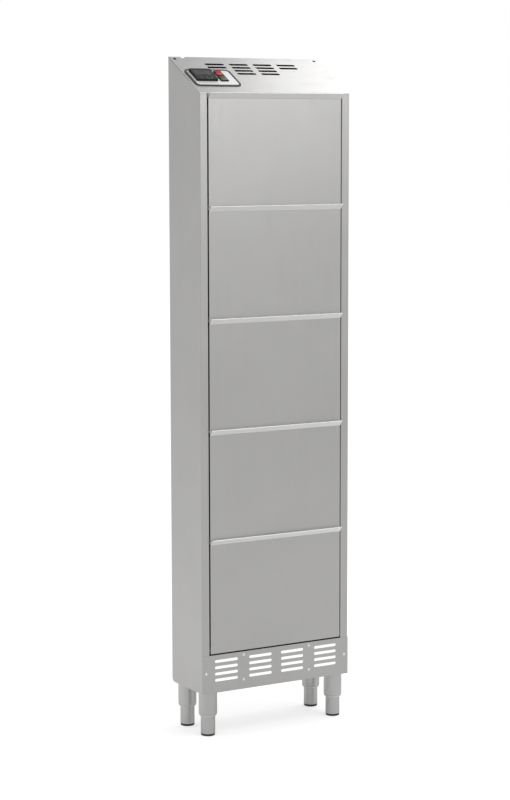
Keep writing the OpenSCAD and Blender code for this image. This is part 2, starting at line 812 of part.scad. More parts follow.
module blower_motor() {
    r = 19;
    deep = 26;
    arm = 16;
    color([0.35, 0.36, 0.38]) place() translate([blower_x, blower_y, blower_z])
        rotate([90, 0, 0]) {
            cylinder(r = r, h = deep);
            for (i = [0 : 2]) rotate([0, 0, 90 + i * 120]) translate([r - 2, -4, 0])
                cube([arm + 2, 8, 3]);
            translate([0, 0, -blower_d / 2 - 6]) cylinder(r = shaft_r, h = blower_d / 2 + 7);
        }
}

// Finned heating element across the duct, on two end plates
module heater() {
    deep = back_in - duct_y - sheet_t - 4;
    wide = duct_w - 2 * sheet_t;
    rods = 3;
    fins = 22;
    color([0.72, 0.60, 0.48]) place() translate([0, duct_y + sheet_t + 2, heater_z]) {
        for (i = [0 : rods - 1])
            translate([-wide / 2, deep / 2, (i + 0.5) * heater_h / rods])
                rotate([0, 90, 0]) cylinder(r = 4, h = wide);
        for (i = [1 : fins - 1]) translate([-wide / 2 + i * wide / fins, 2, 2])
            cube([1, deep - 4, heater_h - 4]);
        for (x = [-wide / 2, wide / 2 - 2]) translate([x, 0, 0]) cube([2, deep, heater_h]);
    }
}

// Strain relief under the notch, on a bracket against the back panel
module cable_gland() {
    shelf_w = 34;
    shelf_d = 14;
    reach = back_in - lead_at[1];
    bracket_t = 2;
    bracket_h = 26;
    body_r = 8;
    nut_r = 11;
    above = 20;
    below = 12;
    color([0.25, 0.25, 0.26]) place() translate([lead_at[0], lead_at[1], gland_z]) difference() {
        union() {
            translate([-shelf_w / 2, -shelf_d, -bracket_t])
                cube([shelf_w, shelf_d + reach, bracket_t]);
            translate([-shelf_w / 2, reach - bracket_t, -bracket_t])
                cube([shelf_w, bracket_t, bracket_h]);
            cylinder(r = nut_r, h = 6, $fn = hex);
            cylinder(r = body_r, h = above);
            translate([0, 0, -below]) cylinder(r = body_r, h = below + bracket_t);
        }
        translate([0, 0, -2 * below]) cylinder(r = gland_bore_r, h = 2 * (above + below));
    }
}

module terminal_block() {
    ways = 5;
    way_w = 11;
    deep = 22;
    tall = 18;
    hole_h = 8;
    color([0.88, 0.86, 0.78]) place() translate(concat(terminal_at, deck_z + sheet_t))
        difference() {
            cube([ways * way_w, deep, tall]);
            for (i = [0 : ways - 1]) for (k = [-1, 1])
                translate([(i + 0.5) * way_w, deep / 2 + k * deep / 4.4, tall - hole_h])
                    cylinder(r = 2.5, h = 2 * hole_h);
        }
}

// A flap's sheet from the side, from its bottom flange to the hem of its lip
module flap_outline(h) {
    r = 2;
    t = sheet_t;
    foot = [t / 2, h - lip_h];
    hem = [-lip_out + hem_t / 2, h - hem_t / 2];
    lean = (hem - foot) / norm(hem - foot);
    inward = [lean[1], -lean[0]];
    translate([0, r]) square([t, h - lip_h - r]);
    translate([r, 0]) square([flap_side_d - r, t]);
    elbow([r, r], r, t, 180, 270);
    translate(foot) circle(t / 2);
    strip(foot, hem, t);
    translate(hem) circle(hem_t / 2);
    strip(hem - 6 * lean + inward * (hem_t - t) / 2, hem + inward * (hem_t - t) / 2, t);
}

module flap(k) {
    h = lip_top(k) - flap_bottom(k);
    side_h = h - lip_h - corner_relief;
    color([0.68, 0.68, 0.67]) place() translate([0, 0, flap_bottom(k)]) difference() {
        union() {
            across(flap_w) flap_outline(h);
            both_sides() translate([flap_w / 2 - sheet_t, sheet_t / 2, sheet_t / 2])
                cube([sheet_t, flap_side_d - sheet_t / 2, side_h]);
        }
        translate([-flap_w, pivot_y, pivot_up]) rotate([0, 90, 0])
            cylinder(r = pin_r / 2 + fit, h = 2 * flap_w);
    }
}

// Perforated bin behind a flap: floor, back wall with a wired edge, and sloping sides
module shoe_bin(k) {
    front = sheet_t + 2 * seam;
    edge_r = 2.5;
    col_pitch = (bin_w - 20) / bin_cols;
    columns = [for (i = [0 : bin_cols - 1]) (i - (bin_cols - 1) / 2) * col_pitch];
    color([0.74, 0.74, 0.74]) place() translate([0, 0, flap_bottom(k)]) {
        translate([0, 0, bin_floor]) linear_extrude(bin_t) difference() {
            translate([-bin_w / 2, front]) square([bin_w, bin_back_y - front]);
            for (x = columns) for (y = [40 : 3 * bin_slot_h : bin_back_y - 15])
                translate([x, y]) slot(bin_slot_w, bin_slot_h);
        }
        backward(bin_t, bin_back_y - bin_t) difference() {
            translate([-bin_w / 2, bin_floor]) square([bin_w, bin_h - bin_floor]);
            for (x = columns) for (z = [25 : 3.2 * bin_slot_h : bin_h - 20])
                translate([x, z]) slot(bin_slot_w, bin_slot_h);
        }
        translate([-bin_w / 2, bin_back_y - bin_t / 2, bin_h]) rotate([0, 90, 0])
            cylinder(r = edge_r, h = bin_w);
        both_sides() across(bin_t, (bin_w - bin_t) / 2) difference() {
            polygon([[front, bin_floor], [bin_back_y, bin_floor], [bin_back_y, bin_h],
                [bin_back_y - 24, bin_h], [flap_side_d, bin_front_h], [front, bin_front_h]]);
            translate([pivot_y, pivot_up]) circle(pin_r / 2 + fit);
            translate([stop_y, stop_up]) circle(pin_r / 2 + fit);
        }
    }
}

// Two pivot pins and two stop pins, shouldered against the sheet that they are welded to
module flap_pins(k) {
    sheets = sheet_t + seam * 3 / 2 + bin_t;
    color([0.78, 0.78, 0.78]) place() both_sides() translate([0, 0, flap_bottom(k)]) {
        translate([flap_w / 2, pivot_y, pivot_up]) rotate([0, 90, 0]) {
            cylinder(r = pin_r, h = side_gap + sheet_t + 5);
            translate([0, 0, -sheets]) cylinder(r = pin_r / 2, h = sheets + joint_lap);
        }
        translate([bin_w / 2, stop_y, stop_up]) rotate([0, 90, 0]) {
            cylinder(r = pin_r, h = (open_w - bin_w) / 2 + sheet_t + 6);
            translate([0, 0, -bin_t]) cylinder(r = pin_r / 2, h = bin_t + joint_lap);
        }
    }
}

side_left();
side_right();
back_panel();
roof_panel();
top_deck();
floor_panel();
base_plate();
plinth_panel();
filter_mat();
rear_duct();
pivot_bushes();
closing_buffers();
leg_sleeve(0);  // leg_sleeve_front_left
leg_sleeve(1);  // leg_sleeve_front_right
leg_sleeve(2);  // leg_sleeve_back_left
leg_sleeve(3);  // leg_sleeve_back_right
foot_tube(0);  // foot_tube_front_left
foot_tube(1);  // foot_tube_front_right
foot_tube(2);  // foot_tube_back_left
foot_tube(3);  // foot_tube_back_right
foot_pad(0);  // foot_pad_front_left
foot_pad(1);  // foot_pad_front_right
foot_pad(2);  // foot_pad_back_left
foot_pad(3);  // foot_pad_back_right
leg_rings();
leg_bolts();
plinth_screws();
back_rivets();
panel_frame();
panel_plate();
thermostat_case();
thermostat_window();
key(-1);  // key_down
key(0);  // key_up
key(1);  // key_set
switch_case(heater_at);  // heater_switch_case
switch_case(power_at);  // power_switch_case
rocker(heater_at, [0.72, 0.10, 0.12]);  // heater_rocker
rocker(power_at, [0.22, 0.42, 0.16]);  // power_rocker
blower_case();
blower_wheel();
blower_motor();
heater();
cable_gland();
terminal_block();
flap(1);  // flap_1
flap(2);  // flap_2
flap(3);  // flap_3
flap(4);  // flap_4
flap(5);  // flap_5
shoe_bin(1);  // shoe_bin_1
shoe_bin(2);  // shoe_bin_2
shoe_bin(3);  // shoe_bin_3
shoe_bin(4);  // shoe_bin_4
shoe_bin(5);  // shoe_bin_5
flap_pins(1);  // flap_pins_1
flap_pins(2);  // flap_pins_2
flap_pins(3);  // flap_pins_3
flap_pins(4);  // flap_pins_4
flap_pins(5);  // flap_pins_5
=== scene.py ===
import math

import bmesh
import bpy
import numpy as np
from mathutils import Matrix, Vector


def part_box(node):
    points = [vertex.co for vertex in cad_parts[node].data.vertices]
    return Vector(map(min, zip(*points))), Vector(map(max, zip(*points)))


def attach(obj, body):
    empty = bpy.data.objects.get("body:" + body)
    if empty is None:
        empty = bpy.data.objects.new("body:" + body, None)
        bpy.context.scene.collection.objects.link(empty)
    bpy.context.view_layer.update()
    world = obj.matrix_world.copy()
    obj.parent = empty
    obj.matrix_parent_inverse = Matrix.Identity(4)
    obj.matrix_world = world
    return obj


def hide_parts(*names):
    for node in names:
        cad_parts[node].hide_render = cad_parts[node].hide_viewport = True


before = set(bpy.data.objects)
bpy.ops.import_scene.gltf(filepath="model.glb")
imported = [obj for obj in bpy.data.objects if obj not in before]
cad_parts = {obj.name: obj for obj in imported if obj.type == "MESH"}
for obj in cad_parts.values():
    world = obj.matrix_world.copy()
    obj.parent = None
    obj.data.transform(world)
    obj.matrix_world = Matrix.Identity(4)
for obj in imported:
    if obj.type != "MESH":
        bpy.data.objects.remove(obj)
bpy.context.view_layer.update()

camera_at = (-3.1634, -5.3920, 1.7433)
sight = Vector((0.49971, 0.85738, -0.12301)).normalized()
camera_roll = math.radians(-0.103)
camera_data = bpy.data.cameras.new("camera")
camera_data.lens = 96.12
camera_data.sensor_width = 36.0
camera = bpy.data.objects.new("camera", camera_data)
bpy.context.collection.objects.link(camera)
camera.matrix_world = (Matrix.Translation(camera_at)
                       @ sight.to_track_quat("-Z", "Y").to_matrix().to_4x4()
                       @ Matrix.Rotation(camera_roll, 4, "Z"))
bpy.context.scene.camera = camera
bpy.context.scene.view_settings.view_transform = "Standard"


# ---- Room and light -------------------------------------------------------
# A pale studio: a white room, a large soft light ahead and to the right of the cabinet, one over
# its back right and one high in front, which lights the bends and hems. The floor keeps a faint
# shadow of the legs.
def place(tree, kind, settings=None, **sockets):
    """Adds a shader node. settings are its own options; sockets are its inputs by name or, as i0,
    i1, by number, each given a plain value or another node's output."""
    made = tree.nodes.new(kind)
    for name, value in (settings or {}).items():
        setattr(made, name, value)
    for name, value in sockets.items():
        if name[0] == "i" and name[1:].isdigit():
            socket = made.inputs[int(name[1:])]
        else:
            socket = made.inputs[name.replace("_", " ")]
        if isinstance(value, bpy.types.NodeSocket):
            tree.links.new(value, socket)
        else:
            socket.default_value = value
    return made


def start(material):
    """Empties a material's node tree and returns it."""
    material.use_nodes = True
    material.node_tree.nodes.clear()
    return material.node_tree


def soft_light(name, at, towards, size, power):
    """A rectangular area light at a point, turned towards another."""
    data = bpy.data.lights.new(name, "AREA")
    data.shape = "RECTANGLE"
    data.size, data.size_y = size
    data.energy = power
    light = bpy.data.objects.new(name, data)
    bpy.context.collection.objects.link(light)
    way = Vector(towards) - Vector(at)
    light.matrix_world = Matrix.Translation(at) @ way.to_track_quat("-Z", "Y").to_matrix().to_4x4()


soft_light("front_light", (1.75, -3.7, 2.7), (0.0, 0.0, 1.2), (1.8, 1.8), 16)
soft_light("roof_light", (1.34, 0.45, 2.90), (0.32, 0.03, 1.92), (1.2, 1.2), 7.4)
soft_light("bend_light", (1.5, -1.7, 3.9), (0.0, -0.1, 1.6), (1.6, 0.8), 12)

# The camera sees a white room. The steel sees it in greys, darkest low down ahead and to the right.
darkest_way = (0.45, -0.77, -0.45)
world = bpy.data.worlds.new("room")
bpy.context.scene.world = world
world.use_nodes = True
world.node_tree.nodes.clear()
ray = place(world.node_tree, "ShaderNodeLightPath")
way = place(world.node_tree, "ShaderNodeTexCoord")
facing = place(world.node_tree, "ShaderNodeVectorMath", {"operation": "DOT_PRODUCT"},
               i0=way.outputs["Generated"], i1=darkest_way)
room_shade = place(world.node_tree, "ShaderNodeMapRange", {"interpolation_type": "SMOOTHSTEP"},
                   Value=facing.outputs["Value"], From_Min=-0.2, From_Max=1.0,
                   To_Min=0.71, To_Max=0.58)
lit = place(world.node_tree, "ShaderNodeMix", {"data_type": "FLOAT"},
            i0=ray.outputs["Is Camera Ray"], i2=room_shade.outputs["Result"], i3=1.0)
room = place(world.node_tree, "ShaderNodeBackground", Color=(1, 1, 1, 1), Strength=lit.outputs[0])
place(world.node_tree, "ShaderNodeOutputWorld", Surface=room.outputs[0])

# The floor glows a little. Mirrored in the steel it is dim under the cabinet and ahead of it,
# brighter to the back left, which the left side shows, and dimmer again farther off.
floor_reach, floor_white, floor_glow = 30.0, 0.80, 0.5
back_left = (-0.5, 0.87, 0.0)
floor_mesh = bpy.data.meshes.new("floor")
floor_mesh.from_pydata([(x * floor_reach, y * floor_reach, 0)
                        for x, y in ((-1, -1), (1, -1), (1, 1), (-1, 1))], [], [(0, 1, 2, 3)])
floor = bpy.data.objects.new("floor", floor_mesh)
bpy.context.collection.objects.link(floor)
floor_paint = bpy.data.materials.new("floor_paint")
tree = start(floor_paint)
ray = place(tree, "ShaderNodeLightPath")
paint = place(tree, "ShaderNodeBsdfDiffuse", Color=(floor_white, floor_white, floor_white, 1))
seen = place(tree, "ShaderNodeMath", {"operation": "MAXIMUM"}, i0=ray.outputs["Is Camera Ray"],
             i1=ray.outputs["Is Transmission Ray"])
where = place(tree, "ShaderNodeTexCoord")
behind = place(tree, "ShaderNodeVectorMath", {"operation": "DOT_PRODUCT"},
               i0=where.outputs["Object"], i1=back_left)
near = place(tree, "ShaderNodeMapRange", {"interpolation_type": "SMOOTHSTEP"},
             Value=behind.outputs["Value"], From_Min=-0.2, From_Max=0.8, To_Min=0.22, To_Max=0.62)
far = place(tree, "ShaderNodeMapRange", {"interpolation_type": "SMOOTHSTEP"},
            Value=behind.outputs["Value"], From_Min=1.5, From_Max=6.0, To_Min=0.0, To_Max=0.23)
pale = place(tree, "ShaderNodeMath", {"operation": "SUBTRACT"}, i0=near.outputs["Result"],
             i1=far.outputs["Result"])
mirrored = place(tree, "ShaderNodeMath", {"operation": "MULTIPLY"},
                 i0=ray.outputs["Is Glossy Ray"], i1=pale.outputs[0])
share = place(tree, "ShaderNodeMath", {"operation": "MAXIMUM"}, i0=seen.outputs[0],
              i1=mirrored.outputs[0])
strength = place(tree, "ShaderNodeMath", {"operation": "MULTIPLY"}, i0=share.outputs[0],
                 i1=floor_glow)
glow = place(tree, "ShaderNodeEmission", Color=(1, 1, 1, 1), Strength=strength.outputs[0])
mixed = place(tree, "ShaderNodeAddShader", i0=paint.outputs[0], i1=glow.outputs[0])
place(tree, "ShaderNodeOutputMaterial", Surface=mixed.outputs[0])
floor_mesh.materials.append(floor_paint)


# ---- Casing sheets --------------------------------------------------------
# Side panels, roof, plinth and flap fronts: cold-rolled stainless sheet, 1.2 mm, belt-ground
# before folding, so fine parallel scratches run up the sides and flaps and across roof and plinth.
def group_of(name, inputs, outputs):
    """A shader node group with named float, vector or colour sockets. Returns its tree and ends."""
    made = bpy.data.node_groups.new(name, "ShaderNodeTree")
    for label, kind, value in inputs:
        socket = made.interface.new_socket(label, in_out="INPUT", socket_type=kind)
        if value is not None:
            socket.default_value = value
    for label, kind in outputs:
        made.interface.new_socket(label, in_out="OUTPUT", socket_type=kind)
    return made, made.nodes.new("NodeGroupInput"), made.nodes.new("NodeGroupOutput")


FLOAT, VECTOR = "NodeSocketFloat", "NodeSocketVector"
brushing, ends_in, ends_out = group_of(
    "brushing", [("Along", VECTOR, None), ("Clouds", FLOAT, 5.0)],
    [("Scratches", FLOAT), ("Clouds", FLOAT), ("Handling", FLOAT)])
fine = place(brushing, "ShaderNodeTexNoise", Vector=ends_in.outputs["Along"], Scale=1.0, Detail=3.0,
             Roughness=0.7)
coarse_way = place(brushing, "ShaderNodeVectorMath", {"operation": "SCALE"},
                   i0=ends_in.outputs["Along"], Scale=0.23)
coarse = place(brushing, "ShaderNodeTexNoise", Vector=coarse_way.outputs[0], Scale=1.0, Detail=2.0)
scratch = place(brushing, "ShaderNodeMix", {"data_type": "FLOAT"}, i0=0.4,
                i2=fine.outputs["Fac"], i3=coarse.outputs["Fac"])
where = place(brushing, "ShaderNodeTexCoord")
cloud = place(brushing, "ShaderNodeTexNoise", Vector=where.outputs["Object"],
              Scale=ends_in.outputs["Clouds"], Detail=3.0, Roughness=0.55, Distortion=0.4)
smear = place(brushing, "ShaderNodeTexNoise", Vector=where.outputs["Object"], Scale=17.0,
              Detail=4.0, Roughness=0.6, Distortion=1.2)
handled = place(brushing, "ShaderNodeMapRange", {"interpolation_type": "SMOOTHSTEP"},
                Value=smear.outputs["Fac"], From_Min=0.52, From_Max=0.74, To_Min=0.0, To_Max=1.0)
brushing.links.new(scratch.outputs[0], ends_out.inputs["Scratches"])
brushing.links.new(cloud.outputs["Fac"], ends_out.inputs["Clouds"])
brushing.links.new(handled.outputs[0], ends_out.inputs["Handling"])


def ground_steel(name, grain, light, dark, rough, relief=0.00002, clouds=5.0, zones=()):
    """Ground or rolled steel. grain stretches object space so that the scratches run along the
    axis with the small number; light and dark are the colours of crest and valley. Each zone is
    another colour and some bounds, each a direction and two distances along it in metres: past all
    the second ones the metal has that colour, before any first one its own."""
    material = bpy.data.materials.new(name)
    tree = start(material)
    where = place(tree, "ShaderNodeTexCoord")
    along = place(tree, "ShaderNodeMapping", Vector=where.outputs["Object"], Scale=grain)
    marks = place(tree, "ShaderNodeGroup", {"node_tree": brushing}, Along=along.outputs[0],
                  Clouds=clouds)
    mixed = place(tree, "ShaderNodeMix", {"data_type": "FLOAT"}, i0=0.45,
                  i2=marks.outputs["Scratches"], i3=marks.outputs["Clouds"])
    level = place(tree, "ShaderNodeMapRange", Value=mixed.outputs[0], From_Min=0.34, From_Max=0.66)
    colour = place(tree, "ShaderNodeMix", {"data_type": "RGBA"}, i0=level.outputs[0],
                   i6=dark + (1,), i7=light + (1,))
    for other, *bounds in zones:
        share = 1.0
        for direction, first, second in bounds:
            reach = place(tree, "ShaderNodeVectorMath", {"operation": "DOT_PRODUCT"},
                          i0=where.outputs["Object"], i1=direction)
            past = place(tree, "ShaderNodeMapRange", {"interpolation_type": "SMOOTHSTEP"},
                         Value=reach.outputs["Value"], From_Min=first, From_Max=second)
            share = place(tree, "ShaderNodeMath", {"operation": "MULTIPLY"}, i0=share,
                          i1=past.outputs["Result"]).outputs[0]
        colour = place(tree, "ShaderNodeMix", {"data_type": "RGBA"}, i0=share,
                       i6=colour.outputs[2], i7=other + (1,))
    coarse = place(tree, "ShaderNodeMapRange", Value=marks.outputs["Scratches"], From_Min=0.3,
                   From_Max=0.7, To_Min=rough[0], To_Max=rough[1])
    worn = place(tree, "ShaderNodeMath", {"operation": "MULTIPLY_ADD"},
                 i0=marks.outputs["Handling"], i1=0.05, i2=coarse.outputs[0])
    bump = place(tree, "ShaderNodeBump", Strength=0.35, Distance=relief,
                 Height=marks.outputs["Scratches"])
    steel = place(tree, "ShaderNodeBsdfPrincipled", Base_Color=colour.outputs[2],
                  Roughness=worn.outputs[0], Metallic=1.0, Normal=bump.outputs[0])
    place(tree, "ShaderNodeOutputMaterial", Surface=steel.outputs[0])
    return material


def finish_nodes(material, *nodes):
    """Gives whole CAD nodes one material."""
    for name in nodes:
        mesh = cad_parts[name].data
        mesh.materials.clear()
        mesh.materials.append(material)


steel_light, steel_dark, steel_rough = (0.554, 0.550, 0.542), (0.514, 0.510, 0.503), (0.30, 0.44)
ground_up, ground_across = (900, 900, 9), (9, 900, 900)
upright_steel = ground_steel("upright_ground_steel", ground_up, steel_light, steel_dark, steel_rough)
level_steel = ground_steel("level_ground_steel", ground_across, steel_light, steel_dark, steel_rough)
finish_nodes(upright_steel, "side_left", "side_right")
finish_nodes(level_steel, "plinth_panel")

# The roof's slope starts at the casing's front edge. Its outlet slots are cut by laser. The metal
# below the upper face, between the roof's front and its flange, is painted near black: painted
# shade on the slots' walls and the sheet's underside.
front_y, front_z = -86.35, 1864.2
slope = math.radians(29.4)
sheet_top = (front_z * math.cos(slope) - front_y * math.sin(slope)) / 1000
downwards = (0, math.sin(slope), -math.cos(slope))
slots_from, slots_to = -0.030, 0.0962
painted_shade_black = (0.03, 0.03, 0.03)
painted_slot_shade = (painted_shade_black, (downwards, 0.0001 - sheet_top, 0.0004 - sheet_top),
             ((0, 1, 0), slots_from, slots_from + 0.001),
             ((0, -1, 0), -slots_to, 0.0004 - slots_to))
finish_nodes(ground_steel("roof_ground_steel_painted_shade", ground_across, steel_light, steel_dark, steel_rough,
                          zones=[painted_slot_shade]), "roof_panel")

# The lips carry a painted highlight, lighter on the lower ones; so does the bottom centimetre of
# each flap above the lowest, which closes behind the next lip: painted light against the shade
# there.
flap_numbers = range(1, 6)
lip_highlight_from = (0.15 - front_y) / 1000
pocket_highlight, pocket_highlight_height = (0.95, 0.945, 0.935), 0.010
for k in flap_numbers:
    lip_highlight = 0.645 + 0.055 * k
    zones = [((lip_highlight, lip_highlight, lip_highlight - 0.01), ((0, -1, 0), lip_highlight_from, lip_highlight_from + 0.0015))]
    if k < flap_numbers[-1]:
        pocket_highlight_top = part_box(f"flap_{k}")[0][2] + pocket_highlight_height
        zones.append((pocket_highlight, ((0, 0, -1), -pocket_highlight_top, 0.001 - pocket_highlight_top)))
    finish_nodes(ground_steel(f"flap_{k}_ground_steel", ground_up, steel_light, steel_dark,
                              steel_rough, zones=zones), f"flap_{k}")


# ---- Inner sheets and bins ------------------------------------------------
# Back panel, decks, duct and the bins are the same steel with the mill's own finish: an even,
# slightly cloudy grey without grinding marks. The bins' slots are punched. Above the top deck and
# in front of the back, the steel is painted near black: painted shade in the space under the roof.
deck_top, inside_back = 1.8492, 0.0959
painted_blower_shade = (painted_shade_black, ((0, 0, 1), deck_top, deck_top + 0.0004),
                ((0, -1, 0), -inside_back, 0.0004 - inside_back))
mill_steel_painted_shade = ground_steel("mill_finish_steel_painted_shade", (60, 60, 22), (0.53, 0.53, 0.52),
                          (0.46, 0.46, 0.455), (0.30, 0.38), relief=0.00001, clouds=9.0,
                          zones=[painted_blower_shade])
finish_nodes(mill_steel_painted_shade, "back_panel", "top_deck", "floor_panel", "base_plate", "rear_duct",
             *[f"shoe_bin_{k}" for k in flap_numbers])


# ---- Flap pins, bushes and buffers ----------------------------------------
# Each flap turns on two bright turned pins in natural nylon bushes, and two more pins stop it.
# Two black rubber buffers take its closing.
bright_steel = ground_steel("turned_bright_steel", (400, 400, 400), (0.80, 0.80, 0.79),
                            (0.70, 0.70, 0.695), (0.20, 0.30), relief=0.00001, clouds=30.0)
finish_nodes(bright_steel, *[f"flap_pins_{k}" for k in flap_numbers])

moulding, ends_in, ends_out = group_of("moulding", [("Grain", FLOAT, 1800.0)],
                                       [("Pores", FLOAT), ("Mottle", FLOAT)])
where = place(moulding, "ShaderNodeTexCoord")
pores = place(moulding, "ShaderNodeTexNoise", Vector=where.outputs["Object"],
              Scale=ends_in.outputs["Grain"], Detail=2.0, Roughness=0.6)
mottle = place(moulding, "ShaderNodeTexNoise", Vector=where.outputs["Object"], Scale=38.0,
               Detail=4.0, Roughness=0.6)
moulding.links.new(pores.outputs["Fac"], ends_out.inputs["Pores"])
moulding.links.new(mottle.outputs["Fac"], ends_out.inputs["Mottle"])


def plastic(name, light, dark, rough, grain=1800.0, relief=0.00004, coat=0.0, sheen=0.0,
            glow=None, gloss=0.5):
    """Moulded plastic, rubber or felt: a fine grain, faint mottling and handling marks. light and
    dark are the colours of the mottling, rough the roughness of each; glow is light from inside a
    lamp, and painted light on a part that is none."""
    material = bpy.data.materials.new(name)
    tree = start(material)
    marks = place(tree, "ShaderNodeGroup", {"node_tree": moulding}, Grain=grain)
    level = place(tree, "ShaderNodeMapRange", Value=marks.outputs["Mottle"], From_Min=0.35,
                  From_Max=0.65)
    colour = place(tree, "ShaderNodeMix", {"data_type": "RGBA"}, i0=level.outputs[0],
                   i6=dark + (1,), i7=light + (1,))
    worn = place(tree, "ShaderNodeMapRange", Value=marks.outputs["Mottle"], From_Min=0.3,
                 From_Max=0.7, To_Min=rough[0], To_Max=rough[1])
    bump = place(tree, "ShaderNodeBump", Strength=0.5, Distance=relief,
                 Height=marks.outputs["Pores"])
    body = place(tree, "ShaderNodeBsdfPrincipled", Base_Color=colour.outputs[2],
                 Roughness=worn.outputs[0], Normal=bump.outputs[0], Coat_Weight=coat,
                 Coat_Roughness=0.12, Sheen_Weight=sheen, Specular_IOR_Level=gloss)
    if glow:
        body.inputs["Emission Color"].default_value = glow + (1,)
        body.inputs["Emission Strength"].default_value = 1.0
    place(tree, "ShaderNodeOutputMaterial", Surface=body.outputs[0])
    return material


nylon = plastic("natural_nylon", (0.88, 0.88, 0.87), (0.83, 0.83, 0.82), (0.38, 0.50))
rubber = plastic("black_rubber", (0.030, 0.030, 0.031), (0.018, 0.018, 0.019), (0.62, 0.78),
                 grain=900.0, relief=0.00010, sheen=0.15)
finish_nodes(nylon, "pivot_bushes")
finish_nodes(rubber, "closing_buffers")


# ---- Legs -----------------------------------------------------------------
# Each leg is a sleeve of welded tube, held under the casing by a zinc-plated bolt, and a foot
# tube that screws out of it through a nylon ring. Both tubes are ground round their girth.
corners = ["front_left", "front_right", "back_left", "back_right"]
body_d, leg_inset, leg_x = 184.0, 29.0, 215.5
leg_front_y, leg_back_y = front_y + leg_inset, front_y + body_d - leg_inset
tube_steel = ground_steel("girth_ground_tube", (45, 45, 1100), (0.59, 0.586, 0.580),
                          (0.54, 0.536, 0.530), (0.32, 0.44))
zinc = ground_steel("zinc_plated_steel", (220, 220, 220), (0.66, 0.67, 0.66), (0.56, 0.57, 0.575),
                    (0.28, 0.40), clouds=40.0)
finish_nodes(tube_steel, *["leg_sleeve_" + c for c in corners], *["foot_tube_" + c for c in corners])
finish_nodes(nylon, "leg_rings")
finish_nodes(zinc, "leg_bolts")


# ---- Plinth screws --------------------------------------------------------
# Six stainless button-head screws, 9.4 mm across, with a hexagon socket, hold the plinth plate:
# one in each stile and two pairs in the tabs of the floor and the base plate.
def skin(name, shells, material, body, *replaced, looped=False):
    """A closed piece made of shells. A shell is an array of rings, rings x points x 3, in metres.
    Neighbouring rings are joined by quads; the end rings are closed by a fan to their middle or,
    when looped, the last ring is joined to the first."""
    points, faces, used = [], [], 0
    for rings in shells:
        rings = np.asarray(rings, float)
        rows, around = rings.shape[:2]
        i, j = np.meshgrid(np.arange(rows if looped else rows - 1), np.arange(around), indexing="ij")
        up, on = (i + 1) % rows, (j + 1) % around
        quads = np.stack([i * around + j, i * around + on, up * around + on, up * around + j], -1)
        points.append(rings.reshape(-1, 3))
        faces += (quads.reshape(-1, 4) + used).tolist()
        used += rows * around
        if not looped:
            k = np.arange(around)
            low = np.stack([(k + 1) % around - rows * around, k - rows * around, 0 * k], -1)
            high = np.stack([k - around, (k + 1) % around - around, 0 * k + 1], -1)
            points.append(np.stack([rings[0].mean(0), rings[-1].mean(0)]))
            faces += (np.concatenate([low, high]) + used).tolist()
            used += 2
    mesh = bpy.data.meshes.new(name)
    mesh.from_pydata(np.concatenate(points).tolist(), [], faces)
    work = bmesh.new()
    work.from_mesh(mesh)
    bmesh.ops.recalc_face_normals(work, faces=work.faces)
    work.to_mesh(mesh)
    work.free()
    mesh.polygons.foreach_set("use_smooth", [True] * len(mesh.polygons))
    mesh.set_sharp_from_angle(angle=math.radians(38))
    mesh.materials.append(material)
    piece = bpy.data.objects.new(name, mesh)
    bpy.context.collection.objects.link(piece)
    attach(piece, body)
    if replaced:
        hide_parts(*replaced)
    return piece


def turned(profile, at, axis, around=48, shape=None):
    """Rings of a turned piece: circle number i has radius profile[i][0] and stands profile[i][1]
    along axis from the point at, in millimetres. shape may change the radii: it takes the angles
    and the row's number and returns a factor for each."""
    profile = np.asarray(profile, float)
    turn = np.arange(around) * 2 * np.pi / around
    radius = profile[:, :1] * np.ones(around)
    if shape is not None:
        radius = radius * np.stack([shape(turn, row) for row in range(len(profile))])
    axis = np.asarray(axis, float)
    axis = axis / np.linalg.norm(axis)
    side = np.cross(axis, (1.0, 0.0, 0.0) if abs(axis[0]) < 0.9 else (0.0, 0.0, 1.0))
    side = side / np.linalg.norm(side)
    third = np.cross(axis, side)
    return (np.asarray(at, float) + radius[..., None] * (np.cos(turn)[:, None] * side
            + np.sin(turn)[:, None] * third) + profile[:, 1:, None] * axis) / 1000.0


def socket_shape(turn, row, first=9, corner=np.pi / 3):
    """Rows from first on are hexagons: the radius grows as one over the cosine of the angle from
    the nearest flat's middle."""
    flat = (turn + corner / 2) % corner - corner / 2
    return 1 / np.cos(flat) if row >= first else np.ones_like(turn)


button = [(2.2, -3), (2.2, 0), (4.7, 0), (4.7, 0.25), (4.5, 0.85), (4.1, 1.4), (3.5, 1.92),
          (2.7, 2.35), (1.9, 2.6), (1.55, 2.62), (1.5, 1.5), (1.45, 1.1), (0.5, 0.8)]
screw_steel = ground_steel("polished_screw_steel", (400, 400, 400), (0.93, 0.93, 0.92),
                           (0.88, 0.88, 0.87), (0.12, 0.20), relief=0.000005, clouds=30.0)
sheet_t = 1.2
tab_screws = [(x, z) for x in (-112, 112) for z in (159, 233)]
stile_screws = [(-237, 190), (237, 190)]
skin("plinth_button_screws",
     [turned(button, (x, front_y - sheet_t, z), (0, -1, 0), shape=socket_shape)
      for x, z in tab_screws + stile_screws], screw_steel, "cabinet", "plinth_screws")


# ---- Back rivets ----------------------------------------------------------
# Blind rivets, nine down each back edge, hold the back panel to the side panels' flanges. Their
# pulled mandrels leave a small pit in each head.
rivet = [(1.5, -1.5), (1.6, 0), (3.4, 0), (3.4, 0.2), (3.05, 0.62), (2.4, 0.95), (1.6, 1.13),
         (1.15, 1.15), (0.95, 1.0), (0.9, 0.45), (0.45, 0.35)]
rivet_x, rivets_down, lowest_rivet, highest_rivet = 241, 9, 171.0, front_z + 40
skin("back_blind_rivets",
     [turned(rivet, (x, front_y + body_d, z), (0, 1, 0), around=32)
      for x in (-rivet_x, rivet_x)
      for z in np.linspace(lowest_rivet, highest_rivet, rivets_down)],
     bright_steel, "cabinet", "back_rivets")


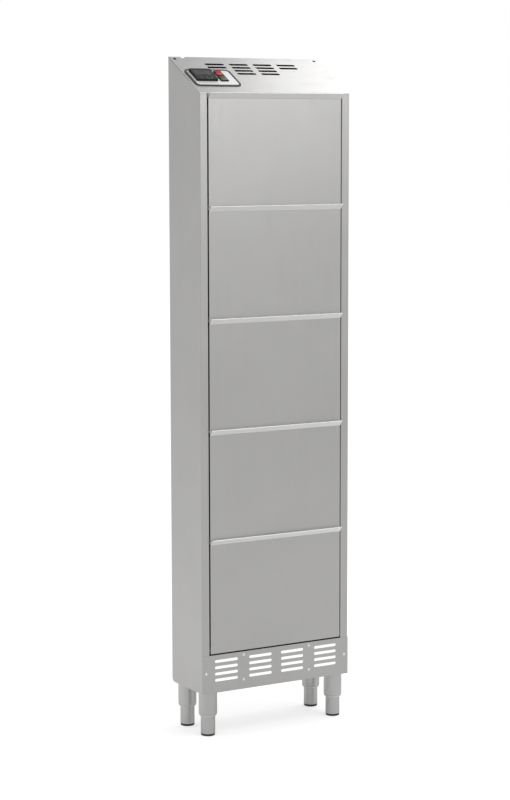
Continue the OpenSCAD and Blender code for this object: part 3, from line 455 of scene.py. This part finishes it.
# ---- Sleeve buttons -------------------------------------------------------
# Each sleeve is plug-welded to its top disc through one hole. The weld is ground to a low
# button, just under the casing.
plug = [(3.6, -1.2), (3.6, 0.25), (3.2, 0.5), (2.3, 0.72), (1.2, 0.8)]
sleeve_r, plug_z = 27, 125.5
skin("sleeve_weld_buttons",
     [turned(plug, (x, y + sleeve_r * way, plug_z), (0, way, 0), around=24)
      for x in (-leg_x, leg_x) for y, way in ((leg_front_y, -1), (leg_back_y, 1))],
     tube_steel, "cabinet")


# ---- Foot pads ------------------------------------------------------------
# A black rubber cap is pressed into the end of each foot tube. Its rim is fluted for grip, and
# its sole has a groove round a hollow middle.
def fluted(turn, row, flutes=36, rim_rows=range(8, 12), depth=0.010):
    """Shallow flutes on the rows of the rim: the radius dips with the cosine of the angle times
    the number of flutes."""
    return 1 - depth * (0.5 + 0.5 * np.cos(flutes * turn)) * (row in rim_rows)


pad = [(7, 0.9), (8, 0), (11, 0), (11.6, 0.9), (12.8, 0.9), (13.4, 0), (18.2, 0), (19.6, 0.5),
       (20.5, 1.9), (20.6, 3.0), (20.6, 4.6), (20.6, 5.8), (20.2, 6.6), (19.4, 7.0), (19.1, 7.0),
       (19.1, 19.5), (18.2, 21.0)]
for corner in corners:
    x = -leg_x if "left" in corner else leg_x
    y = leg_front_y if "front" in corner else leg_back_y
    skin("grip_pad_" + corner, [turned(pad, (x, y, 0), (0, 0, 1), around=216, shape=fluted)],
         rubber, "foot_" + corner, "foot_pad_" + corner)


# ---- Controls -------------------------------------------------------------
# A moulded grey frame holds a white plate; the black thermostat and two lit rockers clip
# through it into the roof.
grey_frame = plastic("grey_frame_plastic", (0.090, 0.091, 0.097), (0.075, 0.076, 0.081),
                     (0.42, 0.54), gloss=0.3)
white_plate = plastic("white_plate_plastic", (0.86, 0.86, 0.86), (0.82, 0.82, 0.82),
                      (0.30, 0.40), coat=0.3)
black_plastic = plastic("black_case_plastic", (0.022, 0.022, 0.023), (0.015, 0.016, 0.017),
                        (0.40, 0.54), gloss=0.18)
window = plastic("smoked_window", (0.020, 0.020, 0.023), (0.016, 0.016, 0.018), (0.10, 0.16),
                 relief=0.000005)
key_rubber = plastic("grey_key_rubber", (0.060, 0.061, 0.064), (0.048, 0.049, 0.052),
                     (0.50, 0.62))
finish_nodes(white_plate, "panel_plate")
finish_nodes(black_plastic, "thermostat_case", "heater_switch_case", "power_switch_case")
finish_nodes(window, "thermostat_window")


def on_roof(points, x, s, tilt=0.0):
    """Puts local points, in millimetres, on the roof: x across, y up the slope, z out of the
    sheet, about the place (x, s), turned forwards about x by tilt degrees first."""
    points = np.asarray(points, float)
    turn = slope + math.radians(tilt)
    across, up, out = points[..., 0], points[..., 1], points[..., 2]
    return np.stack([across + x,
                     up * math.cos(turn) - out * math.sin(turn) + s * math.cos(slope) + front_y,
                     up * math.sin(turn) + out * math.cos(turn) + s * math.sin(slope) + front_z],
                    -1) / 1000.0


def rounded_path(width, height, radius, steps=10):
    """Points and outward normals round a rectangle with rounded corners: each corner's arc goes
    round its own centre, a quarter turn at a time."""
    quarter = np.linspace(0, np.pi / 2, steps)
    turn = np.concatenate([quarter + k * np.pi / 2 for k in range(4)])
    middle = np.repeat([(1, 1), (-1, 1), (-1, -1), (1, -1)], steps, axis=0)
    normal = np.stack([np.cos(turn), np.sin(turn)], -1)
    return middle * (width / 2 - radius, height / 2 - radius) + radius * normal, normal


def raised(width, height, radius, profile, steps=10):
    """Rings of a cushion-edged plate: each row of profile is (inset, rise) from its outline."""
    path, normal = rounded_path(width, height, radius, steps)
    return np.stack([np.concatenate([path - inset * normal, np.full((len(path), 1), rise)], -1)
                     for inset, rise in profile])


def round_rings(profile, around=24):
    """Rings of a small round piece: each row of profile is a circle's (radius, rise)."""
    turn = np.arange(around) * 2 * np.pi / around
    return np.stack([np.stack([r * np.cos(turn), r * np.sin(turn), np.full(around, rise)], -1)
                     for r, rise in profile])


# The frame's section runs from its outer foot over a soft shoulder to the bevel at the plate.
rim = [(0.0, 0.0), (0.0, 1.4), (0.25, 1.95), (0.8, 2.4), (1.6, 2.6), (4.6, 2.55), (5.6, 2.3),
       (6.5, 1.75), (6.9, 1.6), (6.95, 0.0)]
panel_x, panel_s, panel_w, panel_h, panel_corner = -166, 84, 150, 98, 16
skin("control_frame",
     [on_roof(raised(panel_w, panel_h, panel_corner, rim, 14), panel_x, panel_s)], grey_frame,
     "cabinet", "panel_frame", looped=True)

# Caps of the three keys: straight skirts and a crowned top, with a raised mark on each.
mark_paint = plastic("mark_paint", (0.50, 0.50, 0.50), (0.42, 0.42, 0.42), (0.4, 0.5))
cap = [(0.3, -3.1), (0.0, -3.0), (0.0, 0.25), (0.12, 0.5), (0.4, 0.72), (1.0, 0.84), (2.0, 0.9),
       (3.2, 0.9)]
thermo_x, thermo_s, thermo_top = -193, 93.5, 8.5
key_w, key_h, key_corner, key_pitch, key_drop = 12, 7, 1.2, 18, 21
triangle = np.array([(-1.5, -1.1), (1.5, -1.1), (0, 1.5)])
mark_foot, mark_top = thermo_top + 0.6, thermo_top + 0.98
for column, body, node in ((-1, "down_key", "key_down"), (0, "up_key", "key_up"),
                           (1, "set_key", "key_set")):
    at = (thermo_x + key_pitch * column, thermo_s - key_drop)
    rings = raised(key_w, key_h, key_corner, cap, 6) + (0, 0, thermo_top)
    skin(node + "_cap", [on_roof(rings, *at)], key_rubber, body, node)
    if column < 1:
        mark = triangle * (1, -1) if column < 0 else triangle
        rings = [np.concatenate([mark, np.full((3, 1), h)], -1) for h in (mark_foot, mark_top)]
    else:
        rings = round_rings([(0.9, mark_foot), (1.5, mark_foot), (1.5, mark_top), (0.9, mark_top)])
    skin(node + "_mark", [on_roof(rings, *at)], mark_paint, body, looped=column == 1)

# Small lamps on the thermostat: a red one over the keys, a green pair under them.
lamp = [(0.9, -0.8), (1.3, -0.6), (1.3, 0.0), (1.15, 0.35), (0.8, 0.6), (0.4, 0.7)]
lamp_glow = 0.25
for name, colour, spots in (("red_lamp", (0.62, 0.03, 0.03), [(13, -11.5)]),
                            ("green_lamps", (0.05, 0.42, 0.10), [(6, -28.2), (14, -28.2)])):
    shells = [on_roof(round_rings(lamp) + (0, 0, thermo_top), thermo_x + x, thermo_s + s)
              for x, s in spots]
    skin(name, shells, plastic(name, colour, colour, (0.15, 0.2), relief=0.000005, coat=0.8,
                               glow=tuple(lamp_glow * c for c in colour)), "cabinet")

# The display shows the ghosts of its three unlit digits behind the smoked window. Each bar is
# its middle's x and y, its width and its height, and the digits lean to the right.
digit_paint = plastic("unlit_segments", (0.085, 0.088, 0.090), (0.065, 0.067, 0.070), (0.25, 0.35))
bars = [(0, 5.0, 4.2, 0.9), (0, 0, 4.2, 0.9), (0, -5.0, 4.2, 0.9), (-2.6, 2.5, 0.9, 3.9),
        (2.6, 2.5, 0.9, 3.9), (-2.6, -2.5, 0.9, 3.9), (2.6, -2.5, 0.9, 3.9)]
digit_pitch, digit_rise, bar_corner, lean = 13, 8, 0.35, 0.10
bar_levels = [(0, thermo_top - 0.2), (0, thermo_top + 0.02)]
segments = []
for digit in (-1, 0, 1):
    for x, y, wide, tall in bars:
        outline = raised(wide, tall, bar_corner, bar_levels, 3)
        middle = (digit * digit_pitch + x + lean * y, y + digit_rise, 0)
        segments.append(on_roof(outline + middle, thermo_x, thermo_s))
skin("display_segments", segments, digit_paint, "cabinet")


# ---- Rockers --------------------------------------------------------------
# Two lit rockers, moulded in clear coloured plastic, each with a scooped paddle: red for the
# heater above green for the power. They pivot on stub pins and rest with their lower ends in.
red_lens = plastic("red_rocker_plastic", (0.52, 0.016, 0.026), (0.44, 0.012, 0.020),
                   (0.24, 0.34), relief=0.00001, gloss=0.4)
green_lens = plastic("green_rocker_plastic", (0.075, 0.13, 0.022), (0.060, 0.105, 0.018),
                     (0.24, 0.34), relief=0.00001, gloss=0.4)


def paddle(half=10.25, wide=19.8, middle=4.9, deep=5.0, edge=0.9, rows=36, crown=26):
    """Rings of a rocker, each the same y all round. Its top is a shallow V about the middle height,
    whose arms are scooped by a sine and fall off at the ends. Its foot rises to nothing over the
    outer half of each arm, and each ring is a box with rounded upper corners."""
    y = half * np.sin(np.linspace(-np.pi / 2, np.pi / 2, rows))
    arm = np.abs(y) / half
    top = middle + 1.75 * arm - 0.35 * np.sin(np.pi * arm) - 12.8 * np.clip(arm - 0.93, 0, 1)
    foot = deep * (np.clip((arm - 0.5) * 2, 0, 1) - 1)
    turn = np.linspace(0, np.pi, crown)
    way = np.sign(np.cos(turn)) * (np.abs(np.cos(turn)) > 1e-6)
    x = (wide / 2 - edge) * way + edge * np.cos(turn)
    rise = edge * (np.sin(turn) - 1)
    rings = np.empty((rows, crown + 2, 3))
    rings[:, :, 1] = y[:, None]
    rings[:, :crown, 0] = x
    rings[:, :crown, 2] = top[:, None] + rise
    rings[:, crown, 0], rings[:, crown + 1, 0] = -wide / 2, wide / 2
    rings[:, crown:, 2] = foot[:, None]
    return rings


rocker_x, rest_tilt, pin_r, pin_reach = -136.5, 8, 1.5, 11.0
sign_out, sign_foot, sign_top = 6.0, 5.2, 6.1
pin = round_rings([(pin_r, -pin_reach), (pin_r, pin_reach)])[..., [2, 0, 1]]
stroke = raised(0.8, 4.0, 0.35, [(0, sign_foot), (0, sign_top)], 4) + (0, sign_out, 0)
loop = round_rings([(1.4, sign_foot), (2.1, sign_foot), (2.1, sign_top), (1.4, sign_top)]) \
    - (0, sign_out, 0)
for name, body, node, lens, s in (("heater", "heater_switch", "heater_rocker", red_lens, 106.5),
                                  ("power", "power_switch", "power_rocker", green_lens, 75.5)):
    at = (rocker_x, s, rest_tilt)
    skin(name + "_paddle", [on_roof(paddle(), *at), on_roof(pin, *at)], lens, body, node)
    skin(name + "_on_mark", [on_roof(stroke, *at)], mark_paint, body)
    skin(name + "_off_mark", [on_roof(loop, *at)], mark_paint, body, looped=True)


# ---- Blower, heater and wiring --------------------------------------------
# The radial blower blows up the rear duct through a finned element. The case is zinc plated,
# the wheel moulded, the motor painted, the fins bare aluminium. A terminal block and a black
# strain relief take the mains lead.
wheel_plastic = plastic("wheel_plastic", (0.055, 0.055, 0.058), (0.040, 0.040, 0.043), (0.4, 0.55))
motor_paint = plastic("motor_enamel", (0.10, 0.11, 0.12), (0.08, 0.088, 0.10), (0.3, 0.42),
                      coat=0.3)
fins = ground_steel("fin_aluminium", (300, 40, 300), (0.78, 0.78, 0.77), (0.70, 0.70, 0.695),
                    (0.25, 0.36), clouds=25.0)
terminal = plastic("terminal_plastic", (0.66, 0.62, 0.50), (0.60, 0.56, 0.45), (0.35, 0.45))
finish_nodes(zinc, "blower_case")
finish_nodes(wheel_plastic, "blower_wheel")
finish_nodes(motor_paint, "blower_motor")
finish_nodes(fins, "heater")
finish_nodes(terminal, "terminal_block")
finish_nodes(black_plastic, "cable_gland")


# ---- Air filter mat -------------------------------------------------------
# White polyester fleece, 8 mm thick and cut to 440 by 102 mm, lies behind the intake slots. Its
# soft edges draw in by up to a millimetre, and the four middle screws pass through and pinch it.
# The mat's faint glow is painted light: it keeps the fleece white in the shade behind the slots.
fleece = plastic("filter_fleece", (0.92, 0.92, 0.91), (0.85, 0.85, 0.84), (0.85, 0.95),
                 grain=500.0, relief=0.0006, sheen=0.3, glow=(0.5, 0.5, 0.5))
mat_y, mat_z, mat_half_w, mat_half_h, mat_half_t = front_y + 4.2, 186.2, 219.0, 50.5, 3.75


def fleece_rings(columns=221, around=150):
    """Rings round a lofty mat, one for each x. Height and thickness follow a rounded box (a
    superellipse of order six) that closes at both ends; a sum of sines makes the fleece uneven,
    and a bell-shaped dimple sits at each screw."""
    u = np.sin(np.linspace(-np.pi / 2, np.pi / 2, columns))[:, None]
    turn = (np.arange(around) * 2 * np.pi / around)[None, :]
    end = np.maximum(1 - np.abs(u) ** 14, 0) ** (1 / 6)
    cos, sin = np.cos(turn), np.sin(turn)
    box = (np.abs(cos) ** 6 + np.abs(sin) ** 6) ** (-1 / 6)
    x = mat_half_w * u * np.ones_like(turn)
    z = mat_half_h * box * cos * (0.93 + 0.07 * end)
    loft = mat_half_t * end * box * sin
    uneven = (np.sin(0.31 * x + 0.9 * np.sin(0.11 * z)) * np.sin(0.37 * z + 0.6 * np.sin(0.09 * x))
              + 0.6 * np.sin(0.83 * x + 1.3) * np.sin(0.71 * z + 0.4))
    pinch = sum(np.exp(-((x - screw_x) ** 2 + (z + mat_z - screw_z) ** 2) / 60.0)
                for screw_x, screw_z in tab_screws)
    y = loft * (1 - 0.55 * np.clip(pinch, 0, 1)) * (0.95 + 0.05 * uneven)
    return np.stack([x, y + mat_y, z + mat_z], -1) / 1000.0


mat = skin("filter_fleece_mat", [fleece_rings()], fleece, "cabinet", "filter_mat")
